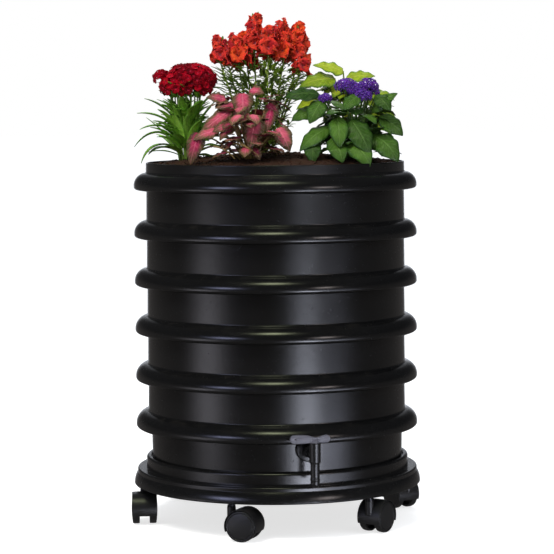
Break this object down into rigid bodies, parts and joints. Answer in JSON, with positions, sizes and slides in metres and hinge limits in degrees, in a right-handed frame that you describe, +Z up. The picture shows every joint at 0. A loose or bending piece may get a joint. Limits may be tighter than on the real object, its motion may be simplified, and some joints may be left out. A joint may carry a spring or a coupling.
{
  "type": "stacking planter tower",
  "caption": "Round black stacking tray tower with rolled beads, a planter tray of flowers on top, a tapped reservoir below and a stepped base on twin-wheel swivel casters.",
  "frame": {"origin": "on the floor under the tower's axis", "axes": "+Z up along the tower's axis, -Y towards the front, +X to the right seen from the front"},
  "size_m": [0.4013, 0.4433, 0.7],
  "materials": {
    "tower_plastic": "satin moulded black polypropylene",
    "tap_plastic": "smooth moulded black",
    "handle_plastic": "smooth moulded dark grey",
    "hood_plastic": "moulded black nylon",
    "wheel_plastic": "moulded black nylon",
    "steel": "zinc plated",
    "seal_rubber": "smooth",
    "soil": "crumbly potting mix",
    "plant_left": "living leaves and dark red bloom",
    "plant_back": "living leaves and red-orange bloom",
    "plant_front": "living pink and green leaves",
    "plant_right": "living leaves and purple bloom",
    "plant_right_back": "living lime-green leaves"
  },
  "bodies": {
    "base": {"base": "tower_plastic", "caster_1_stem": "steel", "caster_2_stem": "steel", "caster_3_stem": "steel", "caster_4_stem": "steel", "caster_5_stem": "steel", "caster_6_stem": "steel"},
    "reservoir": {"reservoir": "tower_plastic", "tap_body": "tap_plastic", "tap_washer": "seal_rubber", "tap_nut": "tap_plastic"},
    "tap_turner": {"tap_handle": "handle_plastic", "tap_o_ring": "seal_rubber"},
    "tray_5": {"tray_5": "tower_plastic"},
    "tray_4": {"tray_4": "tower_plastic"},
    "tray_3": {"tray_3": "tower_plastic"},
    "tray_2": {"tray_2": "tower_plastic"},
    "tray_1": {"tray_1": "tower_plastic"},
    "planter": {"planter_tray": "tower_plastic", "soil": "soil", "plant_left": "plant_left", "plant_back": "plant_back", "plant_front": "plant_front", "plant_right": "plant_right", "plant_right_back": "plant_right_back"},
    "caster_1_fork": {"caster_1_hood": "hood_plastic", "caster_1_axle": "steel"},
    "caster_1_wheel_left": {"caster_1_wheel_left": "wheel_plastic"},
    "caster_1_wheel_right": {"caster_1_wheel_right": "wheel_plastic"},
    "caster_2_fork": {"caster_2_hood": "hood_plastic", "caster_2_axle": "steel"},
    "caster_2_wheel_left": {"caster_2_wheel_left": "wheel_plastic"},
    "caster_2_wheel_right": {"caster_2_wheel_right": "wheel_plastic"},
    "caster_3_fork": {"caster_3_hood": "hood_plastic", "caster_3_axle": "steel"},
    "caster_3_wheel_left": {"caster_3_wheel_left": "wheel_plastic"},
    "caster_3_wheel_right": {"caster_3_wheel_right": "wheel_plastic"},
    "caster_4_fork": {"caster_4_hood": "hood_plastic", "caster_4_axle": "steel"},
    "caster_4_wheel_left": {"caster_4_wheel_left": "wheel_plastic"},
    "caster_4_wheel_right": {"caster_4_wheel_right": "wheel_plastic"},
    "caster_5_fork": {"caster_5_hood": "hood_plastic", "caster_5_axle": "steel"},
    "caster_5_wheel_left": {"caster_5_wheel_left": "wheel_plastic"},
    "caster_5_wheel_right": {"caster_5_wheel_right": "wheel_plastic"},
    "caster_6_fork": {"caster_6_hood": "hood_plastic", "caster_6_axle": "steel"},
    "caster_6_wheel_left": {"caster_6_wheel_left": "wheel_plastic"},
    "caster_6_wheel_right": {"caster_6_wheel_right": "wheel_plastic"}
  },
  "joints": [
    {"name": "lift_reservoir", "type": "slide", "parent": "base", "child": "reservoir", "axis": [0, 0, 1], "range_m": [0, 0.06]},
    {"name": "tap_turn", "type": "hinge", "parent": "reservoir", "child": "tap_turner", "pos_m": [0.04904, -0.21241, 0.118], "axis": [0, 0, 1], "range_deg": [0, 90]},
    {"name": "lift_tray_5", "type": "slide", "parent": "reservoir", "child": "tray_5", "axis": [0, 0, 1], "range_m": [0, 0.06]},
    {"name": "lift_tray_4", "type": "slide", "parent": "tray_5", "child": "tray_4", "axis": [0, 0, 1], "range_m": [0, 0.06]},
    {"name": "lift_tray_3", "type": "slide", "parent": "tray_4", "child": "tray_3", "axis": [0, 0, 1], "range_m": [0, 0.06]},
    {"name": "lift_tray_2", "type": "slide", "parent": "tray_3", "child": "tray_2", "axis": [0, 0, 1], "range_m": [0, 0.06]},
    {"name": "lift_tray_1", "type": "slide", "parent": "tray_2", "child": "tray_1", "axis": [0, 0, 1], "range_m": [0, 0.06]},
    {"name": "lift_planter", "type": "slide", "parent": "tray_1", "child": "planter", "axis": [0, 0, 1], "range_m": [0, 0.08]},
    {"name": "caster_1_swivel", "type": "hinge", "parent": "base", "child": "caster_1_fork", "pos_m": [-0.18356, -0.03568, 0.046], "axis": [0, 0, 1], "continuous": true},
    {"name": "caster_1_spin_left", "type": "hinge", "parent": "caster_1_fork", "child": "caster_1_wheel_left", "pos_m": [-0.18262, -0.05366, 0.021], "axis": [0.9986, 0.0523, 0], "continuous": true},
    {"name": "caster_1_spin_right", "type": "hinge", "parent": "caster_1_fork", "child": "caster_1_wheel_right", "pos_m": [-0.18262, -0.05366, 0.021], "axis": [0.9986, 0.0523, 0], "continuous": true},
    {"name": "caster_2_swivel", "type": "hinge", "parent": "base", "child": "caster_2_fork", "pos_m": [-0.06088, -0.17681, 0.046], "axis": [0, 0, 1], "continuous": true},
    {"name": "caster_2_spin_left", "type": "hinge", "parent": "caster_2_fork", "child": "caster_2_wheel_left", "pos_m": [-0.04397, -0.18297, 0.021], "axis": [0.342, 0.9397, 0], "continuous": true},
    {"name": "caster_2_spin_right", "type": "hinge", "parent": "caster_2_fork", "child": "caster_2_wheel_right", "pos_m": [-0.04397, -0.18297, 0.021], "axis": [0.342, 0.9397, 0], "continuous": true},
    {"name": "caster_3_swivel", "type": "hinge", "parent": "base", "child": "caster_3_fork", "pos_m": [0.12268, -0.14113, 0.046], "axis": [0, 0, 1], "continuous": true},
    {"name": "caster_3_spin_left", "type": "hinge", "parent": "caster_3_fork", "child": "caster_3_wheel_left", "pos_m": [0.13275, -0.12621, 0.021], "axis": [-0.829, 0.5592, 0], "continuous": true},
    {"name": "caster_3_spin_right", "type": "hinge", "parent": "caster_3_fork", "child": "caster_3_wheel_right", "pos_m": [0.13275, -0.12621, 0.021], "axis": [-0.829, 0.5592, 0], "continuous": true},
    {"name": "caster_4_swivel", "type": "hinge", "parent": "base", "child": "caster_4_fork", "pos_m": [0.18356, 0.03568, 0.046], "axis": [0, 0, 1], "continuous": true},
    {"name": "caster_4_spin_left", "type": "hinge", "parent": "caster_4_fork", "child": "caster_4_wheel_left", "pos_m": [0.17403, 0.05095, 0.021], "axis": [-0.848, -0.5299, 0], "continuous": true},
    {"name": "caster_4_spin_right", "type": "hinge", "parent": "caster_4_fork", "child": "caster_4_wheel_right", "pos_m": [0.17403, 0.05095, 0.021], "axis": [-0.848, -0.5299, 0], "continuous": true},
    {"name": "caster_5_swivel", "type": "hinge", "parent": "base", "child": "caster_5_fork", "pos_m": [0.06088, 0.17681, 0.046], "axis": [0, 0, 1], "continuous": true},
    {"name": "caster_5_spin_left", "type": "hinge", "parent": "caster_5_fork", "child": "caster_5_wheel_left", "pos_m": [0.06704, 0.19373, 0.021], "axis": [-0.9397, 0.342, 0], "continuous": true},
    {"name": "caster_5_spin_right", "type": "hinge", "parent": "caster_5_fork", "child": "caster_5_wheel_right", "pos_m": [0.06704, 0.19373, 0.021], "axis": [-0.9397, 0.342, 0], "continuous": true},
    {"name": "caster_6_swivel", "type": "hinge", "parent": "base", "child": "caster_6_fork", "pos_m": [-0.12268, 0.14113, 0.046], "axis": [0, 0, 1], "continuous": true},
    {"name": "caster_6_spin_left", "type": "hinge", "parent": "caster_6_fork", "child": "caster_6_wheel_left", "pos_m": [-0.14041, 0.138, 0.021], "axis": [0.1736, -0.9848, 0], "continuous": true},
    {"name": "caster_6_spin_right", "type": "hinge", "parent": "caster_6_fork", "child": "caster_6_wheel_right", "pos_m": [-0.14041, 0.138, 0.021], "axis": [0.1736, -0.9848, 0], "continuous": true}
  ]
}
